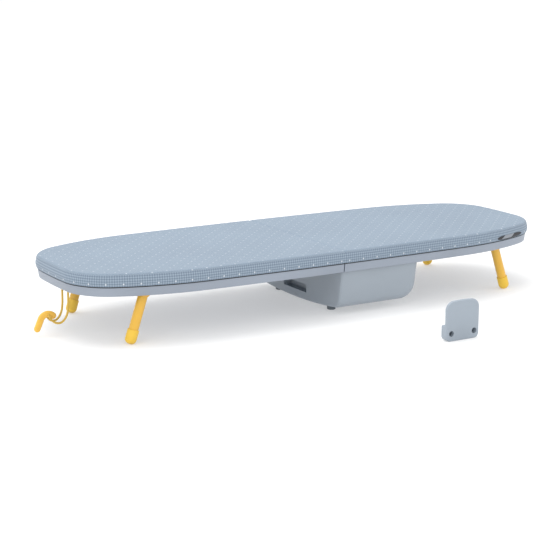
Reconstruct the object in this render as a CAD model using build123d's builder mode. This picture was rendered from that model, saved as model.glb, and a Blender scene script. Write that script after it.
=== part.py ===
"""Folding table-top ironing board with a wall hook, modelled piece by piece.

The board stands open on a table. X runs along the board, Y across it, Z up. The origin is on
the table, under the fold line, midway between the long sides. The right half carries the
pocket; the left half swings up and over about a double-pivot hinge, cover against cover.
Sizes are in millimetres.
"""
import os
from math import cos, pi, radians, sin, tan

from build123d import *

os.makedirs("parts", exist_ok=True)

# ---------------------------------------------------------------- board
LENGTH = 930.0
WIDTH = 330.8
SIDE_TURN = 2.0           # the long side is a very flat arc
SHOULDER_TURN = 20.7
SHOULDER_RADIUS = 429.0
CORNER_TURN = 64.3
CORNER_RADIUS = 89.0
SEAM_GAP = 2.0            # between the two halves at the fold

RIM_BOTTOM = 82.1
RIM_HEIGHT = 14.8
RIM_INSET = 2.0           # the cover overhangs the rim by this much
RIM_TAPER = 7.0           # degrees
RIM_ROUND = 2.4
RIM_WALL = 2.6
PLATE = 3.0               # top plate of a tray
RIB = 2.0
RIBS_FROM_END = 45.0

DECK_INSET = 4.0
DECK_THICKNESS = 16.6
FOAM_THICKNESS = 5.3
FOAM_LIFT = 0.3           # foam edge above the cover's edge
FABRIC = 1.0
COVER_ROUND = 6.5
COVER_GAP = 1.4           # shadow gap between the rim and the cover's edge

# ---------------------------------------------------------------- fold hinge
PIN_RADIUS = 1.5
LINK_RADIUS = 4.0
LINK_WIDTH = 10.0
FOLD_CLEARANCE = 0.3      # half the space between the covers when folded
PIN_DEPTH = 7.8           # pin axis below the top of the cover
HINGE_FROM_SIDE = 55.4
BRACKET_LENGTH = 40.0
BRACKET_PLATE = 2.0
BRACKET_LIP = 3.5         # bracket plate beyond its ears, each side
BRACKET_END = 6.2         # outer screw from the bracket's end
EAR = 2.5
EAR_RADIUS = 4.5
EAR_FOOT = 12.5
BED_GAP = 1.5             # under the link's swing
BED_SIDE_GAP = 0.5
BED_END_GAP = 3.0
RUNNING = 0.05            # radial running clearance of pins and rods
SIDE_CLEARANCE = 0.3

# ---------------------------------------------------------------- legs
PIVOT_FROM_END = 111.0
LEG_FROM_SIDE = 46.4
LEG_LEAN = 18.5           # degrees outwards from upright
LEG_RADIUS = 8.1
KNUCKLE_WALL = 0.55       # knuckle beyond the leg's own radius
KNUCKLE_GAP = 0.6         # knuckle to the tray's plate
ROD_RADIUS = 4.0
ROD_GAP = 0.9             # rod to the tray's ribs
ROD_CHAMFER = 0.6
CAP_WALL = 1.4
CAP_LENGTH = 24.0
CAP_FLOOR = 5.0
CAP_ROUND = 8.0
CAP_LIP_ROUND = 0.9
BEARING_WIDTH = 7.0
BEARING_LENGTH = 18.0
BEARING_GAP = 0.6         # between a leg knuckle and its bearing
BEARING_RECESS = 0.7      # bearing's foot above the rim's lower edge
STOP_LENGTH = 6.0
STOP_GAP = 1.0

# ---------------------------------------------------------------- pocket
POCKET_LENGTH = 164.0
POCKET_SIDE_GAP = 2.2     # to the rim's inner wall at the fold
POCKET_BOTTOM = 6.4       # at the middle of the crowned floor
POCKET_CROWN = 1157.0
POCKET_DRAFT = 10.0       # degrees, long sides
POCKET_ROUND = 18.0       # lower long edges
POCKET_END_ROUND = 30.0   # lower edge of the right end
POCKET_EDGE = 4.5         # all round the left face
POCKET_WALL = 2.6
FLANGE = 12.0
POCKET_SCREW_INSET = 9.0
POCKET_SCREW_END = 19.0
SOCKET_DEPTH = 15.0       # hook socket behind the slot in the left face
SLOT_LOW = 22.0
SLOT_SIDE_ROOM = 5.5
SLOT_HEIGHT_ROOM = 0.4
PEG_RADIUS = 7.5
PEG_FROM_FOLD = 21.0
PEG_FROM_SIDE = 68.8
PEG_TOP = 15.0
PEG_ROUND = 1.5

# ---------------------------------------------------------------- closure loop and label
CORD_RADIUS = 1.8
ANCHOR_FROM_END = 25.0
STRAND_Y = 12.0
ANCHOR_DEPTH = 6.5
ANCHOR_WIDTH = 12.0
ANCHOR_END = 7.0          # bar beyond each strand
ANCHOR_ROUND = 5.0
TAB_WIDTH = 10.0
TAB_THICKNESS = 5.0
TAB_RADIUS = 13.0
TAB_START = 44.0          # degrees
TAB_TURN = 118.0
TAB_CENTRE = (0.3, -11.5)     # from the eye, along X and Z
TAB_TIP = (-18.3, -21.5)
LABEL_FROM_END = 57.0
LABEL_LENGTH = 73.0
LABEL_HEIGHT = 6.4
LABEL_LIFT = 1.2          # above the cover's edge
LABEL_THICKNESS = 1.2
BUTTON_FROM_END = 19.0
BUTTON_STEM = 4.5
BUTTON_RADIUS = 8.0
BUTTON_CAP = 3.0
BUTTON_ROUND = 1.2

# ---------------------------------------------------------------- wall hook, standing in front
HOOK_X = 93.5
HOOK_FRONT = -371.0
HOOK_WIDTH = 65.5
HOOK_HEIGHT = 67.0
HOOK_PLATE = 4.5
HOOK_BASE_DEPTH = 9.5
HOOK_BASE_HEIGHT = 26.0
HOOK_CORNER = 15.0
HOOK_LOW_CORNER = 9.0
HOOK_TOP_ARC = 1.8        # rise of the plate's arched top edge
HOOK_EDGE = 2.2           # rounding of the plate's front edge
SCREW_SPACING = 45.7
SCREW_Z = 13.0
SCREW_HOLE = 2.25
SCREW_HEAD = 4.8
SCREW_SEAT = 2.6          # plate left under the wall screw's head

# ---------------------------------------------------------------- fastener sizes
SCREW_SHANK = 1.7
SCREW_CAP = 3.6
SCREW_CAP_HEIGHT = 1.6
CROSS_LENGTH = 3.6
CROSS_WIDTH = 0.7
CROSS_DEPTH = 0.8
FIT = 0.2                 # clearance of screws and of pieces let into another
SCREW_SHORT = 0.5         # a screw ends this far short of its hole
BRACKET_HOLE = 4.0
DECK_HOLE = 8.0
DECK_SCREW_MARGIN = 30.0  # from the pocket's end to the first row of deck screws
DECK_SCREW_PAST = 55.0    # from the leg pivot to the last row
OVERSHOOT = 5.0           # how far cutting tools run past what they cut

# ---------------------------------------------------------------- worked out from the above
HALF_LENGTH = LENGTH / 2
HALF_WIDTH = WIDTH / 2
SEAM = SEAM_GAP / 2
RIM_TOP = RIM_BOTTOM + RIM_HEIGHT
PLATE_BOTTOM = RIM_TOP - PLATE
DECK_TOP = RIM_TOP + DECK_THICKNESS
FOAM_TOP = DECK_TOP + FOAM_THICKNESS
COVER_TOP = FOAM_TOP + FABRIC
COVER_BOTTOM = RIM_TOP + COVER_GAP
PIN_Z = COVER_TOP - PIN_DEPTH
PIN_X = PIN_DEPTH + FOLD_CLEARANCE
HINGE_Y = HALF_WIDTH - HINGE_FROM_SIDE
BED_Z = PIN_Z - EAR_RADIUS - BRACKET_PLATE - BED_GAP
EAR_INNER = LINK_WIDTH / 2 + SIDE_CLEARANCE
BRACKET_WIDTH = 2 * (EAR_INNER + EAR + BRACKET_LIP)
BED_WIDTH = BRACKET_WIDTH + 2 * BED_SIDE_GAP
PAD_NOTCH = PIN_X + 2 * EAR_RADIUS

LEAN = radians(LEG_LEAN)
KNUCKLE = LEG_RADIUS + KNUCKLE_WALL
CAP_RADIUS = LEG_RADIUS + CAP_WALL
PIVOT_X = HALF_LENGTH - PIVOT_FROM_END
PIVOT_Z = PLATE_BOTTOM - KNUCKLE - KNUCKLE_GAP
LEG_Y = HALF_WIDTH - LEG_FROM_SIDE
LEG_REACH = (PIVOT_Z - CAP_ROUND - (CAP_RADIUS - CAP_ROUND) * sin(LEAN)) / cos(LEAN) + CAP_ROUND
ROD_HALF = LEG_Y + KNUCKLE + BEARING_GAP + BEARING_WIDTH
RIB_DEPTH = KNUCKLE + KNUCKLE_GAP - ROD_RADIUS - ROD_GAP
RIB_SPAN = 2 * (LEG_Y - KNUCKLE - BEARING_GAP - 2 * BEARING_WIDTH)
RIBS_END = HALF_LENGTH - RIBS_FROM_END

POCKET_END = SEAM + POCKET_LENGTH
POCKET_HALF_WIDTH = (HALF_WIDTH - RIM_INSET - RIM_WALL - RIM_HEIGHT * tan(radians(RIM_TAPER))
                     - POCKET_SIDE_GAP)
SLOT_LENGTH = HOOK_WIDTH + 2 * SLOT_SIDE_ROOM
SLOT_HIGH = SLOT_LOW + HOOK_PLATE + HOOK_BASE_DEPTH + SLOT_HEIGHT_ROOM
PEG_X = SEAM + PEG_FROM_FOLD
PEG_Y = POCKET_HALF_WIDTH - PEG_FROM_SIDE
DECK_SCREW_FIRST = POCKET_END + DECK_SCREW_MARGIN
DECK_SCREW_LAST = PIVOT_X + DECK_SCREW_PAST
DECK_SCREW_X = (DECK_SCREW_FIRST, (DECK_SCREW_FIRST + DECK_SCREW_LAST) / 2, DECK_SCREW_LAST)
DECK_SCREW_Y = 0.375 * RIB_SPAN   # midway between two ribs
POCKET_SCREW_Y = POCKET_HALF_WIDTH - POCKET_SCREW_INSET
POCKET_SCREWS = [
    (x, y)
    for x in (SEAM + POCKET_SCREW_END, SEAM + POCKET_LENGTH / 2, POCKET_END - POCKET_SCREW_END)
    for y in (-POCKET_SCREW_Y, POCKET_SCREW_Y)
]

ANCHOR_X = ANCHOR_FROM_END - HALF_LENGTH
BUTTON_X = HALF_LENGTH - BUTTON_FROM_END
LABEL_END = HALF_LENGTH - LABEL_FROM_END
LABEL_LOW = COVER_BOTTOM + LABEL_LIFT
SIDES = {"right": 1, "left": -1}


def save(part, name):
    """Label one finished piece and write it under its node name."""
    part.label = name
    export_step(part, f"parts/{name}.step")


def outline_radii():
    """Radii of the flat side and end arcs, so that a quarter's four tangent arcs reach both half sizes."""
    a = radians(SIDE_TURN)
    b = a + radians(SHOULDER_TURN)
    c = b + radians(CORNER_TURN)
    reach = HALF_LENGTH - SHOULDER_RADIUS * (sin(b) - sin(a)) - CORNER_RADIUS * (sin(c) - sin(b))
    drop = HALF_WIDTH - SHOULDER_RADIUS * (cos(a) - cos(b)) - CORNER_RADIUS * (cos(b) - cos(c))
    scale = sin(a) * cos(c) - (1 - sin(c)) * (1 - cos(a))
    side = (reach * cos(c) - (1 - sin(c)) * drop) / scale
    end = (sin(a) * drop - (1 - cos(a)) * reach) / scale
    return side, end


def board_plan(height, inset=0.0):
    """Plan of the whole board at a height, inset all round from the rim line."""
    side_radius, end_radius = outline_radii()
    with BuildSketch(Plane.XY.offset(height)) as plan:
        with BuildLine():
            side = JernArc((0, HALF_WIDTH), (1, 0), side_radius, -SIDE_TURN)
            shoulder = JernArc(side @ 1, side % 1, SHOULDER_RADIUS, -SHOULDER_TURN)
            corner = JernArc(shoulder @ 1, shoulder % 1, CORNER_RADIUS, -CORNER_TURN)
            end_turn = 90 - SIDE_TURN - SHOULDER_TURN - CORNER_TURN
            JernArc(corner @ 1, corner % 1, end_radius, -end_turn)
            mirror(about=Plane.XZ)
            mirror(about=Plane.YZ)
        make_face()
        if inset:
            offset(amount=-inset)
    return plan.sketch


def keep_half(side, gap):
    """Cut the part being built down to one side of the fold, gap away from the fold line."""
    split(bisect_by=Plane.YZ.offset(side * gap), keep=Keep.TOP if side > 0 else Keep.BOTTOM)


def fold_end(side):
    """Tool that rounds the upper inner end of a pad about its hinge pin, so that folding clears it."""
    with BuildPart() as tool:
        with BuildSketch(Plane.XZ):
            with Locations((side * PIN_X / 2, PIN_Z + PIN_DEPTH)):
                Rectangle(PIN_X, 2 * PIN_DEPTH)
            with Locations((side * PIN_X, PIN_Z)):
                Circle(PIN_DEPTH, mode=Mode.SUBTRACT)
        extrude(amount=HALF_WIDTH + OVERSHOOT, both=True)
    return tool.part


def link_notches(side, low, high, length, width):
    """Two boxes at the hinges, from the fold line outwards, to clear the links and their brackets."""
    with BuildPart() as tool:
        with Locations(*[(side * length / 2, y, (low + high) / 2) for y in (-HINGE_Y, HINGE_Y)]):
            Box(length, width, high - low)
    return tool.part


# ---------------------------------------------------------------- trays
def tray_hollow(side):
    """Space under a tray's plate, inside its rim and its wall at the fold."""
    inset = RIM_INSET + RIM_WALL + PLATE * tan(radians(RIM_TAPER))
    plan = board_plan(PLATE_BOTTOM, inset)
    with BuildPart() as hollow:
        extrude(plan, amount=PLATE_BOTTOM - RIM_BOTTOM, dir=(0, 0, -1), taper=RIM_TAPER)
        keep_half(side, SEAM + RIM_WALL)
    return hollow.part


def tray_ribs(side):
    """Stiffening ribs under the plate: three along it, and one across between the rows of screws."""
    start = POCKET_END + BEARING_WIDTH if side > 0 else 2 * BEARING_WIDTH
    rows = [start, *DECK_SCREW_X]
    middle_z = PLATE_BOTTOM - RIB_DEPTH / 2
    with BuildPart() as ribs:
        with Locations((side * (start + RIBS_END) / 2, 0, middle_z)):
            with GridLocations(0, RIB_SPAN / 4, 1, 3):
                Box(RIBS_END - start, RIB, RIB_DEPTH)
        with Locations(*[(side * (a + b) / 2, 0, middle_z) for a, b in zip(rows, rows[1:])]):
            Box(RIB, RIB_SPAN, RIB_DEPTH)
    return ribs.part


def leg_stops(side):
    """Blocks that a leg leans on when it stands."""
    low = RIM_BOTTOM + STOP_GAP
    foot = PIVOT_X + (PIVOT_Z - RIM_BOTTOM) * tan(LEAN) + LEG_RADIUS / cos(LEAN) + STOP_GAP
    middle = side * (foot + STOP_LENGTH / 2)
    with BuildPart() as stops:
        with Locations(*[(middle, y, (PLATE_BOTTOM + low) / 2) for y in (-LEG_Y, LEG_Y)]):
            Box(STOP_LENGTH, 2 * (LEG_RADIUS - STOP_GAP), PLATE_BOTTOM - low)
    return stops.part


def deck_screw_points(side, height):
    return [(side * x, y, height) for x in DECK_SCREW_X for y in (-DECK_SCREW_Y, DECK_SCREW_Y)]


def tray(side):
    plan = board_plan(RIM_TOP, RIM_INSET)
    hollow = tray_hollow(side)
    ribs = tray_ribs(side)
    stops = leg_stops(side)
    with BuildPart() as body:
        extrude(plan, amount=RIM_HEIGHT, dir=(0, 0, -1), taper=RIM_TAPER)
        fillet(body.faces().sort_by(Axis.Z)[0].outer_wire().edges(), RIM_ROUND)
        keep_half(side, SEAM)
        add(hollow, mode=Mode.SUBTRACT)
        add(ribs)
        add(stops)
        with Locations(*deck_screw_points(side, RIM_TOP)):
            Hole(SCREW_SHANK + FIT, depth=PLATE)
        if side > 0:
            with Locations(*[(x, y, RIM_TOP) for x, y in POCKET_SCREWS]):
                CounterBoreHole(SCREW_SHANK + FIT, SCREW_CAP + FIT, SCREW_CAP_HEIGHT, depth=PLATE)
        else:
            with Locations((ANCHOR_X, 0, RIM_TOP)):
                Hole(SCREW_SHANK, depth=PLATE)
    return body.part


# ---------------------------------------------------------------- deck, foam and cover
def deck(side):
    plan = board_plan(RIM_TOP, DECK_INSET)
    bed = link_notches(side, BED_Z, DECK_TOP + OVERSHOOT, SEAM + BRACKET_LENGTH + BED_END_GAP, BED_WIDTH)
    screws = deck_screw_points(side, RIM_TOP)
    bracket = bracket_screw_points(side, BED_Z)
    with BuildPart() as board:
        extrude(plan, amount=DECK_THICKNESS)
        keep_half(side, SEAM)
        add(bed, mode=Mode.SUBTRACT)
        for x, y, z in screws:
            with Locations(Location((x, y, z), (180, 0, 0))):
                Hole(SCREW_SHANK, depth=DECK_HOLE)
        with Locations(*bracket):
            Hole(SCREW_SHANK, depth=BRACKET_HOLE)
    return board.part


def pad_form(side, inset, low, high, rounding):
    """Block with the cover's plan and rounded top edge, for the cover and what fills it."""
    plan = board_plan(low, inset)
    with BuildPart() as form:
        extrude(plan, amount=high - low)
        fillet(form.faces().sort_by(Axis.Z)[-1].outer_wire().edges(), rounding)
        keep_half(side, SEAM)
    return form.part


def foam(side):
    outer = pad_form(side, FABRIC, COVER_BOTTOM + FOAM_LIFT, FOAM_TOP, COVER_ROUND - FABRIC)
    plan = board_plan(RIM_TOP, DECK_INSET)
    with BuildPart() as core:
        extrude(plan, amount=DECK_THICKNESS)
    round_end = fold_end(side)
    notches = link_notches(side, BED_Z, COVER_TOP + OVERSHOOT, PAD_NOTCH, BED_WIDTH)
    with BuildPart() as pad:
        add(outer)
        add(core.part, mode=Mode.SUBTRACT)
        add(round_end, mode=Mode.SUBTRACT)
        add(notches, mode=Mode.SUBTRACT)
    return pad.part


def cover(side):
    outer = pad_form(side, 0, COVER_BOTTOM, COVER_TOP, COVER_ROUND)
    plan = board_plan(COVER_BOTTOM, FABRIC)
    with BuildPart() as core:
        extrude(plan, amount=FOAM_TOP - COVER_BOTTOM)
        fillet(core.faces().sort_by(Axis.Z)[-1].outer_wire().edges(), COVER_ROUND - FABRIC)
    round_end = fold_end(side)
    notches = link_notches(side, PIN_Z, COVER_TOP + OVERSHOOT, PAD_NOTCH, BED_WIDTH)
    with BuildPart() as skin:
        add(outer)
        add(core.part, mode=Mode.SUBTRACT)
        add(round_end, mode=Mode.SUBTRACT)
        add(notches, mode=Mode.SUBTRACT)
    return skin.part


# ---------------------------------------------------------------- fold hinge
def bracket_screw_points(side, height):
    first = PIN_X + EAR_FOOT - EAR_RADIUS / 2 + SCREW_CAP + BED_SIDE_GAP
    last = SEAM + FIT + BRACKET_LENGTH - BRACKET_END
    return [(side * x, y, height) for x in (first, last) for y in (-HINGE_Y, HINGE_Y)]


def hinge_brackets(side):
    """Steel brackets let into the deck, two ears on each holding a pin."""
    middle = side * (SEAM + FIT + BRACKET_LENGTH / 2)
    with BuildPart() as brackets:
        with Locations(*[(middle, y, BED_Z + BRACKET_PLATE / 2) for y in (-HINGE_Y, HINGE_Y)]):
            Box(BRACKET_LENGTH, BRACKET_WIDTH, BRACKET_PLATE)
        for y in (-HINGE_Y, HINGE_Y):
            for ear in (-1, 1):
                across = y + ear * (EAR_INNER + EAR / 2)
                with BuildSketch(Plane.XZ.offset(-across)):
                    with Locations((side * PIN_X, PIN_Z)):
                        Circle(EAR_RADIUS)
                    with Locations((side * (PIN_X + (EAR_FOOT - EAR_RADIUS) / 2),
                                    (BED_Z + BRACKET_PLATE + PIN_Z) / 2)):
                        Rectangle(EAR_FOOT, PIN_Z - BED_Z - BRACKET_PLATE)
                    with Locations((side * PIN_X, PIN_Z)):
                        Circle(PIN_RADIUS, mode=Mode.SUBTRACT)
                extrude(amount=EAR / 2, both=True)
        with Locations(*bracket_screw_points(side, BED_Z + BRACKET_PLATE)):
            Hole(SCREW_SHANK + FIT, depth=BRACKET_PLATE)
    return brackets.part


def hinge_pins(side):
    with BuildPart() as pins:
        with Locations(*[Location((side * PIN_X, y, PIN_Z), (90, 0, 0)) for y in (-HINGE_Y, HINGE_Y)]):
            Cylinder(PIN_RADIUS, 2 * (EAR_INNER + EAR))
    return pins.part


def fold_link(y):
    """Dog-bone link between the two pins of one hinge."""
    with BuildPart() as link:
        with BuildSketch(Plane.XZ.offset(-y)):
            with Locations((0, PIN_Z)):
                SlotCenterToCenter(2 * PIN_X, 2 * LINK_RADIUS)
            with Locations((-PIN_X, PIN_Z), (PIN_X, PIN_Z)):
                Circle(PIN_RADIUS + RUNNING, mode=Mode.SUBTRACT)
        extrude(amount=LINK_WIDTH / 2, both=True)
    return link.part


def screws(points, length, up=True):
    """Pan-head screws with a cross recess; each point is where the head meets what it holds."""
    turn = (180, 0, 0) if up else (0, 0, 0)
    with BuildPart() as group:
        for point in points:
            with Locations(Location(point, turn)):
                Cylinder(SCREW_CAP, SCREW_CAP_HEIGHT, align=(Align.CENTER, Align.CENTER, Align.MIN))
                Cylinder(SCREW_SHANK, length, align=(Align.CENTER, Align.CENTER, Align.MAX))
                with Locations((0, 0, SCREW_CAP_HEIGHT - CROSS_DEPTH / 2)):
                    Box(CROSS_LENGTH, CROSS_WIDTH, CROSS_DEPTH, mode=Mode.SUBTRACT)
                    Box(CROSS_WIDTH, CROSS_LENGTH, CROSS_DEPTH, mode=Mode.SUBTRACT)
    return group.part


# ---------------------------------------------------------------- legs
def leg_plane(side, y, distance=0.0):
    """Plane across a leg, that far down it from the pivot, facing the foot."""
    down = Vector(side * sin(LEAN), 0, -cos(LEAN))
    return Plane(Vector(side * PIVOT_X, y, PIVOT_Z) + down * distance, x_dir=(0, 1, 0), z_dir=down)


def leg(side, y):
    """Round leg with a knuckle on the pivot rod."""
    with BuildPart() as bar:
        with BuildSketch(leg_plane(side, y)):
            Circle(LEG_RADIUS)
        extrude(amount=LEG_REACH - CAP_FLOOR)
        with Locations(Location((side * PIVOT_X, y, PIVOT_Z), (90, 0, 0))):
            Cylinder(KNUCKLE, 2 * KNUCKLE)
            Cylinder(ROD_RADIUS, 2 * KNUCKLE, mode=Mode.SUBTRACT)
    return bar.part


def leg_cap(side, y):
    """Rubber foot pushed over a leg's end."""
    with BuildPart() as cap:
        with BuildSketch(leg_plane(side, y, LEG_REACH - CAP_LENGTH)):
            Circle(CAP_RADIUS)
        extrude(amount=CAP_LENGTH)
        down = Vector(side * sin(LEAN), 0, -cos(LEAN))
        along = Axis((side * PIVOT_X, y, PIVOT_Z), down)
        rims = cap.edges().filter_by(GeomType.CIRCLE).sort_by(along)
        fillet(rims[-1], CAP_ROUND)
        fillet(rims[0], CAP_LIP_ROUND)
        with BuildSketch(leg_plane(side, y, LEG_REACH - CAP_LENGTH)):
            Circle(LEG_RADIUS)
        extrude(amount=CAP_LENGTH - CAP_FLOOR, mode=Mode.SUBTRACT)
    return cap.part


def pivot_rod(side):
    with BuildPart() as rod:
        with Locations(Location((side * PIVOT_X, 0, PIVOT_Z), (90, 0, 0))):
            Cylinder(ROD_RADIUS, 2 * ROD_HALF)
        chamfer(rod.edges().filter_by(GeomType.CIRCLE), ROD_CHAMFER)
    return rod.part


def leg_bearings(side):
    """Snap-in bearings under the tray, one each side of both legs, open below."""
    inner = LEG_Y - KNUCKLE - BEARING_GAP - BEARING_WIDTH / 2
    outer = LEG_Y + KNUCKLE + BEARING_GAP + BEARING_WIDTH / 2
    low = RIM_BOTTOM + BEARING_RECESS
    middle_z = (low + PLATE_BOTTOM) / 2
    with BuildPart() as blocks:
        with Locations(*[(side * PIVOT_X, y, middle_z) for y in (-outer, -inner, inner, outer)]):
            Box(BEARING_LENGTH, BEARING_WIDTH, PLATE_BOTTOM - low)
        with Locations(Location((side * PIVOT_X, 0, PIVOT_Z), (90, 0, 0))):
            Cylinder(ROD_RADIUS + RUNNING, 2 * (ROD_HALF + OVERSHOOT), mode=Mode.SUBTRACT)
    return blocks.part


# ---------------------------------------------------------------- pocket
def pocket_form(inset):
    """Outer form of the pocket, or its inside when inset by the wall. The long sides have draft."""
    slope = tan(radians(POCKET_DRAFT))
    top = POCKET_HALF_WIDTH - inset / cos(radians(POCKET_DRAFT))
    floor = POCKET_BOTTOM + inset
    low = top - (PLATE_BOTTOM - floor) * slope
    edge = floor + POCKET_CROWN - (POCKET_CROWN ** 2 - low ** 2) ** 0.5
    low = top - (PLATE_BOTTOM - edge) * slope
    with BuildPart() as form:
        with BuildSketch(Plane.YZ.offset(SEAM + inset)):
            with BuildLine():
                ThreePointArc((-low, edge), (0, floor), (low, edge))
                Polyline((low, edge), (top, PLATE_BOTTOM), (-top, PLATE_BOTTOM), (-low, edge))
            make_face()
        extrude(amount=POCKET_LENGTH - 2 * inset)
        right = form.faces().sort_by(Axis.X)[-1]
        fillet(right.edges().sort_by(Axis.Z)[0], POCKET_END_ROUND - inset)
        fillet(form.edges().filter_by(Axis.X).group_by(Axis.Z)[0], POCKET_ROUND - inset)
        left = form.faces().sort_by(Axis.X)[0]
        fillet(left.edges().filter_by(lambda e: e.center().Z < PLATE_BOTTOM - FIT), POCKET_EDGE - inset)
    return form.part


def hook_socket(wall):
    """Block that closes the slot in the left face behind the wall hook, or its inside with no wall."""
    depth = SOCKET_DEPTH + wall
    with BuildPart() as block:
        with Locations((SEAM + depth / 2, 0, (SLOT_LOW + SLOT_HIGH) / 2)):
            Box(depth, SLOT_LENGTH + 2 * wall, SLOT_HIGH - SLOT_LOW + 2 * wall)
    return block.part


def pocket():
    """Pocket under the right half: a crowned tub with a top flange, a hook socket and two peg bosses."""
    outer = pocket_form(0)
    inner = pocket_form(POCKET_WALL)
    socket = hook_socket(POCKET_WALL)
    slot = hook_socket(0)
    pegs = [(PEG_X, y, PEG_TOP) for y in (-PEG_Y, PEG_Y)]
    with BuildPart() as opening:
        with Locations((SEAM + POCKET_LENGTH / 2, 0, PLATE_BOTTOM - POCKET_WALL)):
            Box(POCKET_LENGTH - 2 * FLANGE, 2 * (POCKET_HALF_WIDTH - FLANGE), 3 * POCKET_WALL)
    with BuildPart() as hollow:
        add(inner)
        with Locations((SEAM + POCKET_LENGTH / 2, 0, PLATE_BOTTOM)):
            Box(2 * POCKET_LENGTH, 2 * WIDTH, 2 * POCKET_WALL, mode=Mode.SUBTRACT)
        with Locations(*[(x, y, top + POCKET_WALL) for x, y, top in pegs]):
            Cylinder(
                PEG_RADIUS + POCKET_WALL,
                PEG_TOP + POCKET_WALL,
                align=(Align.CENTER, Align.CENTER, Align.MAX),
                mode=Mode.SUBTRACT,
            )
        add(socket, mode=Mode.SUBTRACT)
    with BuildPart() as body:
        add(outer)
        add(hollow.part, mode=Mode.SUBTRACT)
        add(opening.part, mode=Mode.SUBTRACT)
        add(slot, mode=Mode.SUBTRACT)
        with Locations((0, 0, (RIM_BOTTOM + PLATE_BOTTOM) / 2)):
            Box(2 * (SEAM + RIM_WALL + FIT), 2 * WIDTH, PLATE_BOTTOM - RIM_BOTTOM + FIT, mode=Mode.SUBTRACT)
        with Locations(*pegs):
            Cylinder(PEG_RADIUS, PEG_TOP, align=(Align.CENTER, Align.CENTER, Align.MAX), mode=Mode.SUBTRACT)
        with Locations(*[(x, y, PLATE_BOTTOM) for x, y in POCKET_SCREWS]):
            Hole(SCREW_SHANK, depth=POCKET_WALL)
    return body.part


def pocket_pegs():
    """Rubber pegs that carry the middle of the board on the table."""
    with BuildPart() as pegs:
        with Locations((PEG_X, -PEG_Y, 0), (PEG_X, PEG_Y, 0)):
            Cylinder(PEG_RADIUS, PEG_TOP, align=(Align.CENTER, Align.CENTER, Align.MIN))
        fillet(pegs.edges().group_by(Axis.Z)[0], PEG_ROUND)
    return pegs.part


# ---------------------------------------------------------------- closure loop
CORD_SIDE = [
    (ANCHOR_X, STRAND_Y, PLATE_BOTTOM - ANCHOR_DEPTH),
    (ANCHOR_X, STRAND_Y, 64.0),
    (-440.4, 12.0, 42.0),
    (-444.5, 11.6, 28.5),
    (-453.0, 10.5, 20.2),
    (-462.5, 9.3, 21.2),
    (-469.0, 7.8, 27.3),
    (-472.5, 6.5, 34.5),
]
CORD_ROUTE = CORD_SIDE + [(x, -y, z) for x, y, z in reversed(CORD_SIDE)]


def cord_radii(route):
    """Largest arc at each corner: 0.45 of the shorter run, over the tangent of half the turn."""
    points = [Vector(*p) for p in route]
    radii = []
    for before, here, after in zip(points, points[1:], points[2:]):
        turn = (here - before).get_angle(after - here)
        run = min((here - before).length, (after - here).length)
        radii.append(0.45 * run / tan(radians(turn) / 2))
    return radii


def closure_cord():
    radii = cord_radii(CORD_ROUTE)
    print("cord corner radii, mm:", [round(r, 1) for r in radii])
    with BuildPart() as cord:
        with BuildLine() as path:
            FilletPolyline(*CORD_ROUTE, radius=radii)
        with BuildSketch(Plane(path.line @ 0, z_dir=path.line % 0)):
            Circle(CORD_RADIUS)
        sweep(path=path.line)
    length = path.wire().length
    section = pi * CORD_RADIUS ** 2
    print("cord length, mm:", round(length, 1), "volume over section x length:",
          round(cord.part.volume / section / length, 4))
    return cord.part


def pull_tab():
    """Curved moulded tab on the loop, with the cord through its upper end."""
    eye_x, _, eye_z = CORD_SIDE[-1]
    middle = (eye_x + TAB_CENTRE[0], eye_z + TAB_CENTRE[1])
    tip = (eye_x + TAB_TIP[0], eye_z + TAB_TIP[1])
    with BuildPart() as tab:
        with BuildSketch(Plane.XZ):
            with BuildLine():
                crook = CenterArc(middle, TAB_RADIUS, TAB_START, TAB_TURN)
                Line(crook @ 1, tip)
            trace(line_width=TAB_WIDTH)
            with Locations(crook @ 0, tip):
                Circle(TAB_WIDTH / 2)
        extrude(amount=TAB_THICKNESS / 2, both=True)
        with Locations(Location((eye_x, 0, eye_z), (90, 0, 0))):
            Cylinder(CORD_RADIUS, 2 * TAB_THICKNESS, mode=Mode.SUBTRACT)
    return tab.part


def cord_anchor():
    """Clamp bar under the tray that holds both ends of the loop."""
    with BuildPart() as bar:
        with Locations((ANCHOR_X, 0, PLATE_BOTTOM - ANCHOR_DEPTH / 2)):
            Box(ANCHOR_WIDTH, 2 * (STRAND_Y + ANCHOR_END), ANCHOR_DEPTH)
        fillet(bar.edges().filter_by(Axis.Z), ANCHOR_ROUND)
        with Locations(Location((ANCHOR_X, 0, PLATE_BOTTOM - ANCHOR_DEPTH), (180, 0, 0))):
            CounterBoreHole(SCREW_SHANK + FIT, SCREW_CAP + FIT, SCREW_CAP_HEIGHT + 2 * FIT)
    return bar.part


def loop_hook():
    """Mushroom button under the right end that the loop is pulled over."""
    with BuildPart() as hook:
        with Locations((BUTTON_X, 0, PLATE_BOTTOM)):
            Cylinder(BUTTON_STEM, PLATE_BOTTOM - RIM_BOTTOM, align=(Align.CENTER, Align.CENTER, Align.MAX))
        with Locations((BUTTON_X, 0, RIM_BOTTOM)):
            Cylinder(BUTTON_RADIUS, BUTTON_CAP, align=(Align.CENTER, Align.CENTER, Align.MIN))
        fillet(hook.edges().group_by(Axis.Z)[0], BUTTON_ROUND)
    return hook.part


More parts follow.
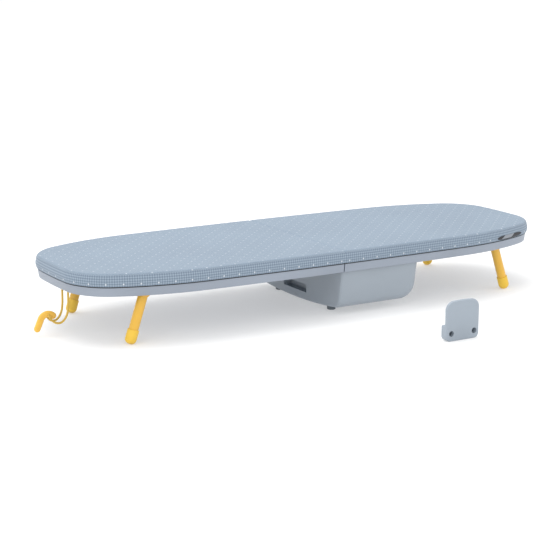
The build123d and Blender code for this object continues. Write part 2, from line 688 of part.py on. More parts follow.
def cover_label():
    """Narrow sewn label on the near side of the right cover, just above the rim."""
    outer = board_plan(LABEL_LOW, -LABEL_THICKNESS)
    inner = board_plan(LABEL_LOW)
    with BuildPart() as label:
        extrude(outer, amount=LABEL_HEIGHT)
        extrude(inner, amount=LABEL_HEIGHT, mode=Mode.SUBTRACT)
        with Locations((LABEL_END - LABEL_LENGTH / 2, -HALF_WIDTH, LABEL_LOW + LABEL_HEIGHT / 2)):
            Box(LABEL_LENGTH, HALF_WIDTH, LABEL_HEIGHT, mode=Mode.INTERSECT)
    return label.part


# ---------------------------------------------------------------- wall hook
def wall_hook():
    """Plate with rounded shoulders on a thicker foot, with two counterbored screw holes."""
    half = HOOK_WIDTH / 2
    shoulder = HOOK_HEIGHT - HOOK_TOP_ARC
    screws_at = [HOOK_X - SCREW_SPACING / 2, HOOK_X + SCREW_SPACING / 2]
    with BuildPart() as hook:
        with BuildSketch(Plane.XZ.offset(-HOOK_FRONT - HOOK_PLATE)) as plate:
            with BuildLine():
                ThreePointArc((HOOK_X - half, shoulder), (HOOK_X, HOOK_HEIGHT), (HOOK_X + half, shoulder))
                Polyline((HOOK_X + half, shoulder), (HOOK_X + half, 0), (HOOK_X - half, 0),
                         (HOOK_X - half, shoulder))
            make_face()
            fillet(plate.vertices().group_by(Axis.Y)[-1], HOOK_CORNER)
            fillet(plate.vertices().group_by(Axis.Y)[0], HOOK_LOW_CORNER)
        extrude(amount=HOOK_PLATE)
        fillet(hook.faces().sort_by(Axis.Y)[0].edges(), HOOK_EDGE)
        with BuildSketch(Plane.XZ.offset(-HOOK_FRONT - HOOK_PLATE)) as foot:
            with Locations((HOOK_X, HOOK_BASE_HEIGHT / 2)):
                Rectangle(HOOK_WIDTH, HOOK_BASE_HEIGHT)
            fillet(foot.vertices().group_by(Axis.Y)[0], HOOK_LOW_CORNER)
            fillet(foot.vertices().group_by(Axis.Y)[-1], HOOK_EDGE)
        extrude(amount=-HOOK_BASE_DEPTH)
        with Locations(*[Location((x, HOOK_FRONT, SCREW_Z), (90, 0, 0)) for x in screws_at]):
            CounterBoreHole(SCREW_HOLE, SCREW_HEAD, HOOK_PLATE + HOOK_BASE_DEPTH - SCREW_SEAT,
                            depth=HOOK_PLATE + HOOK_BASE_DEPTH)
    return hook.part


BRACKET_SCREW = BRACKET_PLATE + BRACKET_HOLE - SCREW_SHORT
DECK_SCREW = PLATE + DECK_HOLE - SCREW_SHORT
POCKET_SCREW = PLATE - SCREW_CAP_HEIGHT + POCKET_WALL - FIT
ANCHOR_SEAT = PLATE_BOTTOM - ANCHOR_DEPTH + SCREW_CAP_HEIGHT + 2 * FIT
ANCHOR_SCREW = RIM_TOP - ANCHOR_SEAT - SCREW_SHORT

# ---------------------------------------------------------------- write every piece
for name, side in SIDES.items():
    save(tray(side), f"{name}_tray")
    save(deck(side), f"{name}_deck")
    save(foam(side), f"{name}_foam")
    save(cover(side), f"{name}_cover")
    save(hinge_brackets(side), f"{name}_hinge_brackets")
    save(hinge_pins(side), f"{name}_hinge_pins")
    seats = bracket_screw_points(side, BED_Z + BRACKET_PLATE)
    save(screws(seats, BRACKET_SCREW, up=False), f"{name}_bracket_screws")
    save(screws(deck_screw_points(side, PLATE_BOTTOM), DECK_SCREW), f"{name}_deck_screws")
    save(pivot_rod(side), f"{name}_pivot_rod")
    save(leg_bearings(side), f"{name}_leg_bearings")
    for place, y in (("near", -LEG_Y), ("far", LEG_Y)):
        save(leg(side, y), f"{name}_{place}_leg")
        save(leg_cap(side, y), f"{name}_{place}_foot")

save(fold_link(-HINGE_Y), "near_fold_link")
save(fold_link(HINGE_Y), "far_fold_link")
save(pocket(), "pocket")
save(pocket_pegs(), "pocket_pegs")
pocket_seats = [(x, y, RIM_TOP - SCREW_CAP_HEIGHT) for x, y in POCKET_SCREWS]
save(screws(pocket_seats, POCKET_SCREW, up=False), "pocket_screws")
save(closure_cord(), "closure_cord")
save(pull_tab(), "pull_tab")
save(cord_anchor(), "cord_anchor")
save(screws([(ANCHOR_X, 0, ANCHOR_SEAT)], ANCHOR_SCREW), "anchor_screw")
save(loop_hook(), "loop_hook")
save(cover_label(), "cover_label")
save(wall_hook(), "wall_hook")
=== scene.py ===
"""Looks for the folding table-top ironing board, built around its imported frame.

Metres throughout, in the frame's own axes. Each section makes one piece or one group of like
pieces, in the order in which the board is put together.
"""
import math

import bmesh
import bpy
import numpy as np
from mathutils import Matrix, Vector


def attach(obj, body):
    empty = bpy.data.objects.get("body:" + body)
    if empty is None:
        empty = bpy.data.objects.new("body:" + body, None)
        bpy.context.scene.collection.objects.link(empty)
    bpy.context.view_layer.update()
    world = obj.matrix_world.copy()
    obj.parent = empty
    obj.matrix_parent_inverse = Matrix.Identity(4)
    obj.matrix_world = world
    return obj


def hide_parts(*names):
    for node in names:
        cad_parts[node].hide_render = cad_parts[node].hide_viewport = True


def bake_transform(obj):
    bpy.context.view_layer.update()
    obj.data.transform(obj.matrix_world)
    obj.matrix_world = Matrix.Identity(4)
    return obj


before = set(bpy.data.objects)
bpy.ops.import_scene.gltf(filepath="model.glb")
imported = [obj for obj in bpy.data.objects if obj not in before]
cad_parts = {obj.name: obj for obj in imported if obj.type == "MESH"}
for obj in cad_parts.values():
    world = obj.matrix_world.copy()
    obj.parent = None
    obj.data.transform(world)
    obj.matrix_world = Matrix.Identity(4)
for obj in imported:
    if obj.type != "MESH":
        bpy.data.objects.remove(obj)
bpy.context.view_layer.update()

# ------------------------------------------------------------------ camera, floor and studio light
# A long lens a little above the table looks along the board from its near left corner. The
# floor is a pale sweep, lit by one wide soft light overhead and two weaker ones.
CAMERA_AT = Vector((-1.4156, -2.3232, 0.6645))
BEARING, DIP = math.radians(30.814), math.radians(12.985)
LENS = 100.6
PAPER_GLOW = 0.36
FLOOR_BEHIND, FLOOR_AHEAD, FLOOR_SIDE, SWEEP_RADIUS = 6.0, 5.0, 9.0, 2.0


def aim(obj, direction):
    """Turn a camera or light so that its -Z axis runs along a direction, with +Y upwards."""
    obj.rotation_mode = "QUATERNION"
    obj.rotation_quaternion = Vector(direction).to_track_quat("-Z", "Y")


camera = bpy.data.objects.new("camera", bpy.data.cameras.new("camera"))
bpy.context.scene.collection.objects.link(camera)
camera.location = CAMERA_AT
camera.data.lens = LENS
camera.data.sensor_width = 36.0
camera.data.clip_end = 60.0
aim(camera, (math.sin(BEARING) * math.cos(DIP), math.cos(BEARING) * math.cos(DIP), -math.sin(DIP)))
bpy.context.scene.camera = camera


class Socket:
    """One shader socket with arithmetic: each operator adds a Math node and wraps its output."""

    def __init__(self, graph, socket):
        self.graph, self.socket = graph, socket

    def _math(self, operation, *values):
        return self.graph.node("ShaderNodeMath", {"operation": operation}, dict(enumerate(values)))

    def __add__(self, other):
        return self._math("ADD", self, other)

    def __sub__(self, other):
        return self._math("SUBTRACT", self, other)

    def __rsub__(self, other):
        return self._math("SUBTRACT", other, self)

    def __mul__(self, other):
        return self._math("MULTIPLY", self, other)

    __radd__, __rmul__ = __add__, __mul__

    def sine(self):
        return self._math("SINE", self)

    def wrap(self, low, high):
        return self._math("WRAP", self, high, low)

    def smallest(self, other):
        return self._math("MINIMUM", self, other)

    def power(self, exponent):
        return self._math("POWER", self, exponent)

    def step(self, start, end):
        """Smooth 0 to 1 as the value goes from start to end (either way round)."""
        return self.graph.node("ShaderNodeMapRange", {"interpolation_type": "SMOOTHSTEP"},
                               {"Value": self, "From Min": start, "From Max": end})


class Finish:
    """A procedural material: node() adds any node, shade() sets the surface's own values."""

    def __init__(self, name):
        self.material = bpy.data.materials.new(name)
        self.material.use_nodes = True
        self.tree = self.material.node_tree
        self.surface = self.tree.nodes["Principled BSDF"]

    def _set(self, target, value):
        if isinstance(value, Socket):
            self.tree.links.new(value.socket, target)
        elif target.type == "RGBA" and len(value) == 3:
            target.default_value = (*value, 1.0)
        else:
            target.default_value = value

    def node(self, kind, settings=None, inputs=None, output=0):
        made = self.tree.nodes.new(kind)
        for key, value in (settings or {}).items():
            setattr(made, key, value)
        for key, value in (inputs or {}).items():
            self._set(made.inputs[key], value)
        return Socket(self, made.outputs[output])

    def split(self, vector):
        made = self.tree.nodes.new("ShaderNodeSeparateXYZ")
        self.tree.links.new(vector.socket, made.inputs[0])
        return [Socket(self, made.outputs[i]) for i in range(3)]

    def place(self):
        """Object coordinates, which are the row frame's metres on every finished piece."""
        return self.node("ShaderNodeTexCoord", output="Object")

    def stretch(self, where, x, y, z):
        """Coordinates multiplied axis by axis."""
        return self.node("ShaderNodeVectorMath", {"operation": "MULTIPLY"}, {0: where, 1: (x, y, z)})

    def noise(self, where, scale, detail=3.0, rough=0.5):
        return self.node("ShaderNodeTexNoise", {}, {"Vector": where, "Scale": scale, "Detail": detail,
                                                   "Roughness": rough})

    def mix(self, share, first, second):
        made = self.tree.nodes.new("ShaderNodeMix")
        made.data_type = "RGBA"
        self._set(made.inputs[0], share)
        self._set(made.inputs[6], first)
        self._set(made.inputs[7], second)
        return Socket(self, made.outputs[2])

    def bump(self, height, depth):
        return self.node("ShaderNodeBump", {}, {"Height": height, "Distance": depth, "Strength": 1.0})

    def shade(self, **values):
        for key, value in values.items():
            self._set(self.surface.inputs[key.replace("_", " ")], value)
        return self.material


def mesh_piece(name, points, faces, body, finish, slot, fields=None):
    """A mesh from points and faces, with its doubles merged and its faces turned outwards.

    fields maps an attribute's name to one vector per point.
    """
    mesh = bpy.data.meshes.new(name)
    mesh.from_pydata(np.asarray(points, float).tolist(), [], list(faces))
    for key, values in (fields or {}).items():
        mesh.attributes.new(key, "FLOAT_VECTOR", "POINT").data.foreach_set("vector", np.ravel(values))
    work = bmesh.new()
    work.from_mesh(mesh)
    bmesh.ops.remove_doubles(work, verts=work.verts, dist=1e-6)
    bmesh.ops.dissolve_degenerate(work, edges=work.edges, dist=1e-7)
    bmesh.ops.recalc_face_normals(work, faces=work.faces)
    work.to_mesh(mesh)
    work.free()
    mesh.polygons.foreach_set("use_smooth", [True] * len(mesh.polygons))
    piece = bpy.data.objects.new(name, mesh)
    bpy.context.scene.collection.objects.link(piece)
    mesh.materials.append(finish)
    if body:
        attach(piece, body)
    return piece


def grid_faces(rows, columns, wrap=False):
    """Quads of a rows by columns grid of points; wrapping joins each row's end to its start."""
    a, b = np.meshgrid(np.arange(rows - 1), np.arange(columns if wrap else columns - 1), indexing="ij")
    c, d = a + 1, (b + 1) % columns
    return np.stack([a * columns + b, a * columns + d, c * columns + d, c * columns + b], -1).reshape(-1, 4)


def capped_rings(rows, around):
    """Quads between rings that each close on themselves, with one face over the first and last ring."""
    ends = [list(range(around)), list(range((rows - 1) * around, rows * around))]
    return grid_faces(rows, around, wrap=True).tolist() + ends


def floor_sweep():
    """Flat floor that curves up far behind the board: height is a quarter circle, then straight."""
    flat = np.array([-FLOOR_BEHIND, 0.0, FLOOR_AHEAD])
    turn = np.linspace(0, math.pi / 2, 16)
    along = np.concatenate([flat, FLOOR_AHEAD + SWEEP_RADIUS * np.sin(turn)])
    up = np.concatenate([0 * flat, SWEEP_RADIUS * (1 - np.cos(turn))])
    across = np.array([-FLOOR_SIDE, FLOOR_SIDE])
    x, y = across + 0 * along[:, None], along[:, None] + 0 * across
    points = np.stack([x * math.cos(BEARING) + y * math.sin(BEARING),
                       y * math.cos(BEARING) - x * math.sin(BEARING), up[:, None] + 0 * x], -1)
    return points.reshape(-1, 3), grid_faces(len(along), 2).tolist()


paper = Finish("paper")
paper.shade(Base_Color=(0.62, 0.62, 0.62), Roughness=0.9, Emission_Color=(1.0, 1.0, 1.0),
            Emission_Strength=PAPER_GLOW)
floor = mesh_piece("floor", *floor_sweep(), None, paper.material, None)


def area_light(name, at, size, watts):
    """Square soft light at a point, aimed at the board."""
    light = bpy.data.objects.new(name, bpy.data.lights.new(name, "AREA"))
    bpy.context.scene.collection.objects.link(light)
    light.location = at
    light.data.size = size
    light.data.energy = watts
    aim(light, Vector((0.0, 0.0, 0.05)) - Vector(at))


area_light("overhead", (-0.3, 0.5, 2.6), 2.4, 46)
area_light("front_left", (-2.6, -1.8, 1.7), 1.8, 16)
area_light("right_fill", (2.2, -1.6, 1.2), 1.6, 6)
world = bpy.data.worlds.new("studio")
bpy.context.scene.world = world
world.use_nodes = True
world.node_tree.nodes["Background"].inputs[0].default_value = (1.0, 1.0, 1.0, 1.0)
world.node_tree.nodes["Background"].inputs[1].default_value = 1.0
bpy.context.scene.view_settings.view_transform = "Standard"

# ------------------------------------------------------------------ closure loop
# A braided elastic cord whose two ends are clamped under the left end of the board. It hangs
# down and turns outwards through the eye of the pull tab.
MM = 0.001
CORD_DIAMETER = 3.6 * MM
BRAID_STRANDS = 6
CORD_SIDE = [
    (-0.4400, 0.0120, 0.0874),
    (-0.4400, 0.0120, 0.0640),
    (-0.4404, 0.0120, 0.0420),
    (-0.4445, 0.0116, 0.0285),
    (-0.4530, 0.0105, 0.0202),
    (-0.4625, 0.0093, 0.0212),
    (-0.4690, 0.0078, 0.0273),
    (-0.4725, 0.0065, 0.0345),
]
CORD_ROUTE = CORD_SIDE + [(x, -y, z) for x, y, z in reversed(CORD_SIDE)]


def nurbs_line(name, route, thickness):
    """Smooth curve whose control points are the route, with a round section."""
    data = bpy.data.curves.new(name, "CURVE")
    data.dimensions = "3D"
    spline = data.splines.new("NURBS")
    spline.points.add(len(route) - 1)
    for point, at in zip(spline.points, route):
        point.co = (*at, 1.0)
    spline.order_u = 3
    spline.use_endpoint_u = True
    spline.resolution_u = 12
    data.bevel_depth = thickness / 2
    data.bevel_resolution = 6
    data.use_fill_caps = True
    obj = bpy.data.objects.new(name, data)
    bpy.context.scene.collection.objects.link(obj)
    return obj


def braid(name, colour, dark, pitch):
    """Braided sleeve: two families of slanted strands over and under each other, from a tube's UV map. The
    dark colour is painted shade on the low cells, where strands go under.
    """
    sleeve = Finish(name)
    u, v, _ = sleeve.split(sleeve.node("ShaderNodeTexCoord", output="UV"))
    lay = u * pitch
    turn = v * (2 * math.pi * BRAID_STRANDS)
    strands = ((lay + turn).sine() * (lay - turn).sine()).step(-0.7, 0.7)
    # The low cells of the strand pattern take the dark colour: painted shade where the strands go under.
    return sleeve.shade(Base_Color=sleeve.mix(strands, dark, colour), Roughness=0.72,
                        Normal=sleeve.bump(strands, 0.0003))


cord = nurbs_line("elastic_loop", CORD_ROUTE, CORD_DIAMETER)
# The second colour is painted shade for the braid's low cells.
cord.data.materials.append(braid("elastic_braid", (0.90, 0.62, 0.13), (0.66, 0.40, 0.06), 700.0))
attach(cord, "left_half")
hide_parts("closure_cord")

# ------------------------------------------------------------------ pull tab
# A soft moulded crook on the loop, thick and rounded, with the cord running through its eye.
TAB_YELLOW = (0.84, 0.49, 0.070)
TAB_HALF = 5.5 * MM
TAB_DEPTH = 3.1 * MM
TAB_CENTRE = (-0.4722, 0.0230)
TAB_RADIUS = 13.0 * MM
TAB_TIP = (-0.4908, 0.0130)
TAB_FROM, TAB_TO = 44, 162
TAB_SQUARE = 0.7
TAB_END = 0.02


def tab_spine(steps):
    """The crook's middle line: an arc from one angle to the other, then a straight tail to the tip."""
    angle = np.radians(np.linspace(TAB_FROM, TAB_TO, steps))
    arc = np.array(TAB_CENTRE) + TAB_RADIUS * np.stack([np.cos(angle), np.sin(angle)], -1)
    tail = arc[-1] + (np.array(TAB_TIP) - arc[-1]) * np.linspace(0, 1, steps // 2)[1:, None]
    return np.concatenate([arc, tail])


def tab_mesh(around=28, steps=44, ends=9):
    """A section whose sides are cosine and sine to a power under 1, carried along the spine.

    Its size falls as the sine of a quarter turn at both ends, which rounds them.
    """
    line = tab_spine(steps)
    tangent = np.gradient(line, axis=0)
    tangent /= np.linalg.norm(tangent, axis=1)[:, None]
    cap = np.linspace(0, math.pi / 2, ends)[:-1]
    rise, fall = TAB_HALF * np.cos(cap)[:, None], TAB_HALF * np.cos(cap[::-1])[:, None]
    at = np.concatenate([line[0] - rise * tangent[0], line, line[-1] + fall * tangent[-1]])
    ahead = np.concatenate([0 * rise + tangent[0], tangent, 0 * fall + tangent[-1]])
    size = np.maximum(np.concatenate([np.sin(cap), np.ones(len(line)), np.sin(cap[::-1])]), TAB_END)
    side = np.stack([-ahead[:, 1], ahead[:, 0]], -1)
    angle = np.linspace(0, 2 * math.pi, around, endpoint=False)
    across = np.sign(np.cos(angle)) * np.abs(np.cos(angle)) ** TAB_SQUARE * TAB_HALF
    deep = np.sign(np.sin(angle)) * np.abs(np.sin(angle)) ** TAB_SQUARE * TAB_DEPTH
    x = at[:, None, 0] + side[:, None, 0] * across * size[:, None]
    z = at[:, None, 1] + side[:, None, 1] * across * size[:, None]
    y = deep * np.sqrt(size)[:, None]
    points = np.stack([x, y, z], -1).reshape(-1, 3)
    return points, capped_rings(len(at), around)


def moulded(name, colour, grain=2600.0, rough=0.42, depth=0.00004, wear=0.10):
    """Moulded plastic or coating: fine spark-eroded grain, faint cloudiness and slightly uneven gloss."""
    made = Finish(name)
    where = made.place()
    cloud = made.noise(where, 9.0, 3.0)
    fine = made.noise(where, grain, 2.0, 0.6)
    pale = tuple(min(1.0, c * (1 + wear)) for c in colour)
    deep = tuple(c * (1 - wear) for c in colour)
    return made.shade(Base_Color=made.mix(cloud.step(0.3, 0.7), deep, pale),
                      Roughness=rough + (fine - 0.5) * 0.14 + (cloud - 0.5) * 0.12,
                      Normal=made.bump(fine, depth))


tab = mesh_piece("loop_tab", *tab_mesh(), "left_half",
                 moulded("tab_moulding", TAB_YELLOW, 2200.0, 0.46), "tab_plastic")
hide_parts("pull_tab")

# ------------------------------------------------------------------ padded cover
# One cotton cover over foam on each half, drawn tight round the edge and tucked under a hem.
# It runs on over the fold with only a faint crease. Dots sit in a diamond lattice on the top
# and in one low row along the side, over a fine check.
COVER_TOP, COVER_LOW = 119.8 * MM, 98.8 * MM
EDGE_ROUND = 6.5 * MM
EDGE_ARCS = ((7408.8 * MM, 2.0), (429.0 * MM, 20.7), (89.0 * MM, 64.3), (964.3 * MM, 3.0))
HALF_WIDTH = 165.4 * MM
CREASE, CREASE_DEPTH, SIDE_CREASE_DEPTH = 2.4 * MM, 0.9 * MM, 0.7 * MM
BULGE, INSET = 1.5 * MM, 0.3 * MM
HEM_RADIUS, HEM_TUCK, HEM_RISE = 0.9 * MM, 4.0 * MM, 0.6 * MM
SPINE = 330.0 / 465.0
DOT_PITCH, SIDE_DOT_PITCH, SIDE_DOT_DROP = 26.0 * MM, 28.0 * MM, 16.5 * MM
TOP_CHECK, SIDE_CHECK, YARN = 9.0 * MM, 8.0 * MM, 1.1 * MM


def edge_run(count):
    """x, y, heading and run along a quarter of the edge: each arc turns evenly from the fold to the tip."""
    radii = np.array([a[0] for a in EDGE_ARCS])
    turns = np.radians([a[1] for a in EDGE_ARCS])
    knots = np.concatenate([[0.0], np.cumsum(radii * turns)])
    fine = np.linspace(0.0, knots[-1], 6001)
    heading = np.interp(fine, knots, np.concatenate([[0.0], np.cumsum(turns)]))
    step = fine[1]
    x = np.concatenate([[0.0], np.cumsum(step * (np.cos(heading[1:]) + np.cos(heading[:-1])) / 2)])
    drop = np.concatenate([[0.0], np.cumsum(step * (np.sin(heading[1:]) + np.sin(heading[:-1])) / 2)])
    share = 0.5 * fine / knots[-1] + 0.5 * heading / heading[-1]
    run = np.interp(np.linspace(0.0, 1.0, count), share, fine)
    run = np.unique(np.concatenate([run, np.array([0.6, 1.2, 1.8, 2.4, 3.2, 4.2, 5.5]) * MM,
                                    np.arange(8.0, 400.0, 4.0) * MM]))
    return [np.interp(run, fine, values) for values in (x, HALF_WIDTH - drop, heading)] + [run]


def wall_bulge(height):
    """How far the side stands out at a height: half a sine wave from the rounded edge down to the hem."""
    share = np.clip((COVER_TOP - EDGE_ROUND - height) / (COVER_TOP - EDGE_ROUND - COVER_LOW), 0.0, 1.0)
    return BULGE * np.sin(math.pi * share) - INSET


def cover_half(sign):
    """Rows run from the spine out over the top, round the edge, down the bulged side and under the hem."""
    x, y, heading, run = edge_run(150)
    x, run = np.concatenate([x, x[-2::-1]]), np.concatenate([run, 2 * run[-1] - run[-2::-1]])
    y = np.concatenate([y, -y[-2::-1]])
    out_x = np.sin(np.concatenate([heading, heading[-2::-1]]))
    out_y = np.cos(heading)
    out_y = np.concatenate([out_y, -out_y[-2::-1]])
    corner = np.radians(np.linspace(0.0, 90.0, 9))
    drop = np.linspace(COVER_TOP - EDGE_ROUND, COVER_LOW + HEM_RADIUS, 10)[1:]
    hem = np.radians(np.linspace(15.0, 180.0, 7))
    shift = np.concatenate([EDGE_ROUND * (np.sin(corner) - 1) - INSET, wall_bulge(drop),
                            wall_bulge(drop[-1]) - HEM_RADIUS * (1 - np.cos(hem)), [-HEM_TUCK]])
    level = np.concatenate([COVER_TOP - EDGE_ROUND * (1 - np.cos(corner)), drop,
                            drop[-1] - HEM_RADIUS * np.sin(hem), [drop[-1] + HEM_RISE]])
    shares = np.linspace(0.0, 1.0, 15)[:-1, None]
    groove = np.exp(-(x / CREASE) ** 2)
    ring_x = x + shift[:, None] * out_x
    creased = level[:, None] < COVER_TOP - 1 * MM
    ring_y = y + (shift[:, None] - SIDE_CREASE_DEPTH * groove * creased) * out_y
    spine_x = x * SPINE
    top_x = spine_x + (ring_x[0] - spine_x) * shares
    top_y = ring_y[0] * shares
    all_x, all_y = np.concatenate([top_x, ring_x]), np.concatenate([top_y, ring_y])
    all_z = np.concatenate([np.full(len(shares), COVER_TOP), level])[:, None] + 0 * all_x
    all_z = all_z - CREASE_DEPTH * groove * (all_z > COVER_TOP - EDGE_ROUND)
    down = np.maximum(COVER_TOP - all_z, 0.0)
    slope = np.concatenate([np.zeros(len(shares)), np.degrees(corner), np.full(len(level) - 9, 90.0)])
    side = np.clip((slope - 35.0) / 20.0, 0.0, 1.0)[:, None] + 0 * all_x
    points = np.stack([sign * all_x, all_y, all_z], -1).reshape(-1, 3)
    plan = np.stack([sign * all_x, all_y, side], -1).reshape(-1, 3)
    edge = np.stack([sign * (run + 0 * all_x), down, side], -1).reshape(-1, 3)
    rows, columns = all_x.shape
    number = np.arange(rows * columns)
    number[:columns] = np.minimum(number[:columns], columns - 1 - number[:columns])
    used, renamed = np.unique(number[grid_faces(rows, columns)], return_inverse=True)
    return points[used], renamed.reshape(-1, 4).tolist(), {"plan": plan[used], "edge": edge[used]}


def dotted_cloth():
    """Blue-grey cotton. Dots and check come from the plan on top and from run and drop on the side."""
    cloth = Finish("dotted_cloth")
    where = cloth.node("ShaderNodeAttribute", {"attribute_name": "plan"}, output=1)
    x, y, side = cloth.split(where)
    run, down, _ = cloth.split(cloth.node("ShaderNodeAttribute", {"attribute_name": "edge"}, output=1))

    def spot(a, b, wide, high):
        """Distance to the nearest point of a lattice: the length of both remainders."""
        across, along = a.wrap(-wide / 2, wide / 2), b.wrap(-high / 2, high / 2)
        return (across * across + along * along).power(0.5)

    def check(a, b, pitch):
        """Sine of the sum times sine of the difference, hardened to two tones."""
        turn = 2 * math.pi / pitch
        return (((a + b) * turn).sine() * ((a - b) * turn).sine()).step(-0.3, 0.3)

    between = spot(x + DOT_PITCH / 2, y + DOT_PITCH / 2, DOT_PITCH, DOT_PITCH)
    top_dots = spot(x, y, DOT_PITCH, DOT_PITCH).smallest(between).step(0.0018, 0.0010)
    side_dots = spot(run, down - SIDE_DOT_DROP, SIDE_DOT_PITCH, 0.2).step(0.0017, 0.0009)
    dots = top_dots * (1 - side) + side_dots * side
    weave = check(x, y, TOP_CHECK) * (1 - side) + check(run, down, SIDE_CHECK) * side
    yarn = (x * (2 * math.pi / YARN)).sine() * (y * (2 * math.pi / YARN)).sine()
    cloud = cloth.noise(where, 7.0, 4.0)
    pad = cloth.noise(where, 26.0, 2.0)
    ground = cloth.mix(cloud.step(0.3, 0.7), (0.186, 0.246, 0.318), (0.206, 0.270, 0.344))
    shade = cloth.mix(side, (0.262, 0.326, 0.402), (0.130, 0.178, 0.238))
    lit = cloth.mix(side, ground, (0.275, 0.340, 0.415))
    pattern = cloth.mix(weave * (0.55 + side * 0.30), lit, shade)
    colour = cloth.mix(dots * (0.50 + side * 0.35), pattern, (0.66, 0.70, 0.74))
    height = pad * 0.9 + yarn * 0.10 * (1 - side) + weave * 0.12 + dots * 0.15
    return cloth.shade(Base_Color=colour, Roughness=0.86 + (cloud - 0.5) * 0.1,
                       Normal=cloth.bump(height, 0.0008), Sheen_Weight=0.15)


cloth = dotted_cloth()
for half, sign in (("right", 1), ("left", -1)):
    points, faces, fields = cover_half(sign)
    cover = mesh_piece(f"{half}_padded_cover", points, faces, None, cloth, None, fields=fields)
    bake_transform(cover)
    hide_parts(f"{half}_cover", f"{half}_foam")

# ------------------------------------------------------------------ sewn label
# A narrow woven tape with tapered ends, sewn low on the near side of the right half. It is dark,
# with one plain pale bar.
LABEL_FROM, LABEL_TO = 335.0 * MM, 408.0 * MM
LABEL_MIDDLE, LABEL_HALF = 103.6 * MM, 4.0 * MM
LABEL_HALF_THICKNESS = 0.55 * MM


def label_tape(columns=61, around=16):
    """A flattened ring carried along the edge; its height tapers as the root of 1 minus an even power."""
    x, y, heading, _ = edge_run(600)
    share = np.linspace(-1.0, 1.0, columns)
    at = LABEL_FROM + (LABEL_TO - LABEL_FROM) * (share + 1) / 2
    edge_y, turn = -np.interp(at, x, y), np.interp(at, x, heading)
    taper = np.sqrt(np.clip(1 - share ** 4, 1e-4, 1.0))[:, None]
    angle = np.linspace(0, 2 * math.pi, around, endpoint=False)
    z = LABEL_MIDDLE + LABEL_HALF * np.cos(angle) * taper
    stand = wall_bulge(z) + 0.3 * MM + LABEL_HALF_THICKNESS * np.sin(angle) * taper
    out_x, out_y = np.sin(turn)[:, None], -np.cos(turn)[:, None]
    points = np.stack([at[:, None] + stand * out_x, edge_y[:, None] + stand * out_y, z], -1).reshape(-1, 3)
    return points, capped_rings(columns, around)


def tape():
    """Dark ribbed tape, with one slanted pale bar."""
    made = Finish("label_tape")
    where = made.place()
    x, _, z = made.split(where)
    slant = x - (z - LABEL_MIDDLE) * 1.5
    bar = slant.step(0.3500, 0.3510) * slant.step(0.3790, 0.3780) * z.step(0.1010, 0.1015)
    rib = (x * (2 * math.pi / 0.0009)).sine()
    cloud = made.noise(where, 240.0)
    dark = made.mix(cloud, (0.020, 0.022, 0.028), (0.042, 0.044, 0.050))
    return made.shade(Base_Color=made.mix(bar * 0.85, dark, (0.30, 0.33, 0.37)),
                      Roughness=0.7 + (cloud - 0.5) * 0.2, Normal=made.bump(rib * 0.5 + cloud, 0.0001))


label = mesh_piece("sewn_label", *label_tape(), "right_half", tape(), "label")
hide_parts("cover_label")

# ------------------------------------------------------------------ trays
# Each half's tray is one satin moulding with a tapered rim, a plate and ribs underneath. Years of
# handling leave the rim's gloss a little uneven.
def finish_nodes(finish, *names):
    """Give CAD pieces one finish."""
    for name in names:
        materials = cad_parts[name].data.materials
        materials.clear()
        materials.append(finish)


finish_nodes(moulded("tray_moulding", (0.272, 0.308, 0.366), 1900.0, 0.44, 0.00003, 0.05),
             "right_tray", "left_tray")

# ------------------------------------------------------------------ decks
# Plain fibreboard under the foam, seen only as a dark line between the cover and the rim.
def fibreboard():
    """Pressed fibres: stretched noise over a fine grain."""
    made = Finish("fibreboard")
    where = made.place()
    fibres = made.noise(made.stretch(where, 300, 60, 900), 1.0, 4.0, 0.65)
    grain = made.noise(where, 1500.0)
    return made.shade(Base_Color=made.mix(fibres, (0.055, 0.050, 0.045), (0.11, 0.10, 0.085)),
                      Roughness=0.85 + (grain - 0.5) * 0.2, Normal=made.bump(fibres + grain * 0.5, 0.0002))


finish_nodes(fibreboard(), "right_deck", "left_deck")

# ------------------------------------------------------------------ pocket
# A deep tub moulding under the right half, with a crowned floor and a slot that holds the wall
# hook when the board is put away. Its floor is scuffed where it meets the table.
def scuffed(name, colour, low, high, grain=1900.0, rough=0.46):
    """Moulding whose lowest part is rubbed paler and rougher between two heights, in streaks along X."""
    made = Finish(name)
    where = made.place()
    _, _, z = made.split(where)
    streaks = made.noise(made.stretch(where, 30, 420, 420), 1.0, 4.0, 0.6)
    cloud = made.noise(where, 8.0, 3.0)
    fine = made.noise(where, grain, 2.0, 0.6)
    rubbed = streaks.step(0.52, 0.68) * z.step(high, low)
    body = made.mix(cloud.step(0.3, 0.7), tuple(c * 0.95 for c in colour), tuple(c * 1.05 for c in colour))
    return made.shade(Base_Color=made.mix(rubbed * 0.5, body, tuple(min(1.0, c * 1.35) for c in colour)),
                      Roughness=rough + (fine - 0.5) * 0.14 + rubbed * 0.2,
                      Normal=made.bump(fine + rubbed * 0.6, 0.00004))


finish_nodes(scuffed("pocket_moulding", (0.292, 0.332, 0.376), 0.006, 0.016), "pocket")

# ------------------------------------------------------------------ rubber pegs
# Two grey rubber pegs in the pocket's floor carry the middle of the board. Dust clings to their rims.
finish_nodes(scuffed("peg_rubber", (0.13, 0.15, 0.17), 0.001, 0.006, 1200.0, 0.8), "pocket_pegs")
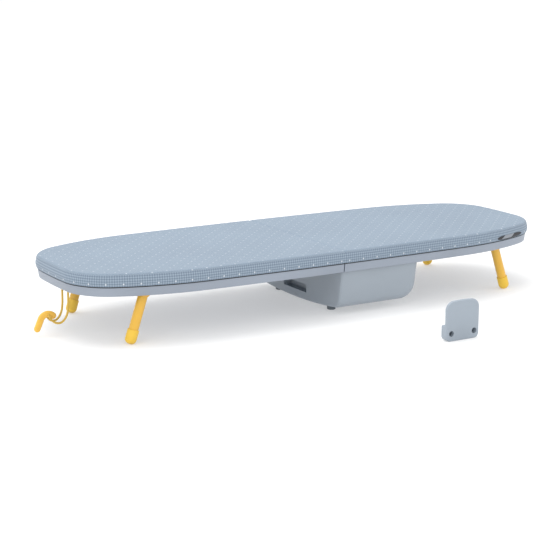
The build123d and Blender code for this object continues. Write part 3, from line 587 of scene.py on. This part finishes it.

# ------------------------------------------------------------------ legs and their rods
# Coated steel tubes on a cross rod. The coating is smooth, a little uneven and nicked here and there.
def coating(name, colour):
    """Powder coating: orange-peel bump, cloudy tone, and small darker nicks where noise is highest."""
    made = Finish(name)
    where = made.place()
    peel = made.noise(where, 620.0, 2.0)
    cloud = made.noise(where, 16.0, 3.0)
    nick = made.noise(where, 150.0, 3.0, 0.7).step(0.735, 0.77)
    deep, light = tuple(c * 0.93 for c in colour), tuple(min(1.0, c * 1.05) for c in colour)
    pale = made.mix(cloud.step(0.3, 0.7), deep, light)
    return made.shade(Base_Color=made.mix(nick * 0.6, pale, tuple(c * 0.45 for c in colour)),
                      Roughness=0.34 + (cloud - 0.5) * 0.16 + nick * 0.2,
                      Normal=made.bump(peel - nick * 0.8, 0.00005), Coat_Weight=0.25 - nick * 0.2)


LEG_NODES = [f"{half}_{place}_leg" for half in ("right", "left") for place in ("near", "far")]
finish_nodes(coating("leg_coating", (0.77, 0.440, 0.042)), *LEG_NODES, "right_pivot_rod", "left_pivot_rod")

# ------------------------------------------------------------------ foot caps
# Soft yellow caps pushed over the tubes. Their soles are rubbed grey by the table.
def sole(name, colour):
    """Matt rubber, greyed in blotches below a few millimetres above the table."""
    made = Finish(name)
    where = made.place()
    _, _, z = made.split(where)
    cloud = made.noise(where, 60.0, 3.0)
    fine = made.noise(where, 1500.0, 2.0)
    grime = z.step(0.007, 0.0005) * cloud.step(0.35, 0.7)
    body = made.mix(cloud, tuple(c * 0.95 for c in colour), tuple(min(1.0, c * 1.04) for c in colour))
    return made.shade(Base_Color=made.mix(grime * 0.55, body, (0.16, 0.13, 0.09)),
                      Roughness=0.55 + (fine - 0.5) * 0.15 + grime * 0.2, Normal=made.bump(fine, 0.00004))


finish_nodes(sole("cap_rubber", (0.82, 0.525, 0.052)),
             *[name.replace("_leg", "_foot") for name in LEG_NODES])

# ------------------------------------------------------------------ bearings, cord clamp and button
# Small mouldings under the trays: snap-in leg bearings, the bar that clamps the loop and the
# button it hooks over.
finish_nodes(moulded("bearing_moulding", (0.21, 0.24, 0.28), 1500.0, 0.5),
             "right_leg_bearings", "left_leg_bearings", "cord_anchor", "loop_hook")

# ------------------------------------------------------------------ hinge and screws
# Zinc-plated steel: two double-pivot hinges under the cover and pan-head screws everywhere.
def zinc():
    """Plated steel with a spangle of cells, thin brushed lines and dull patches."""
    made = Finish("zinc_plate")
    where = made.place()
    cells = made.node("ShaderNodeTexVoronoi", {}, {"Vector": where, "Scale": 420.0}, output=0)
    lines = made.noise(made.stretch(where, 90, 2600, 2600), 1.0, 2.0)
    dull = made.noise(where, 70.0).step(0.5, 0.75)
    return made.shade(Base_Color=made.mix(dull * 0.6 + cells * 0.2, (0.62, 0.63, 0.64), (0.40, 0.41, 0.43)),
                      Metallic=1.0, Roughness=0.30 + dull * 0.25 + (lines - 0.5) * 0.15,
                      Normal=made.bump(lines, 0.00003))


finish_nodes(zinc(), *[f"{half}_{part}" for half in ("right", "left") for part in
                       ("hinge_brackets", "hinge_pins", "bracket_screws", "deck_screws")],
             "near_fold_link", "far_fold_link", "pocket_screws", "anchor_screw")

# ------------------------------------------------------------------ wall hook
# A small moulded plate on a foot block that is screwed to the wall. It stands in front of the board.
finish_nodes(scuffed("hook_moulding", (0.305, 0.352, 0.405), 0.001, 0.006, 2300.0, 0.36), "wall_hook")
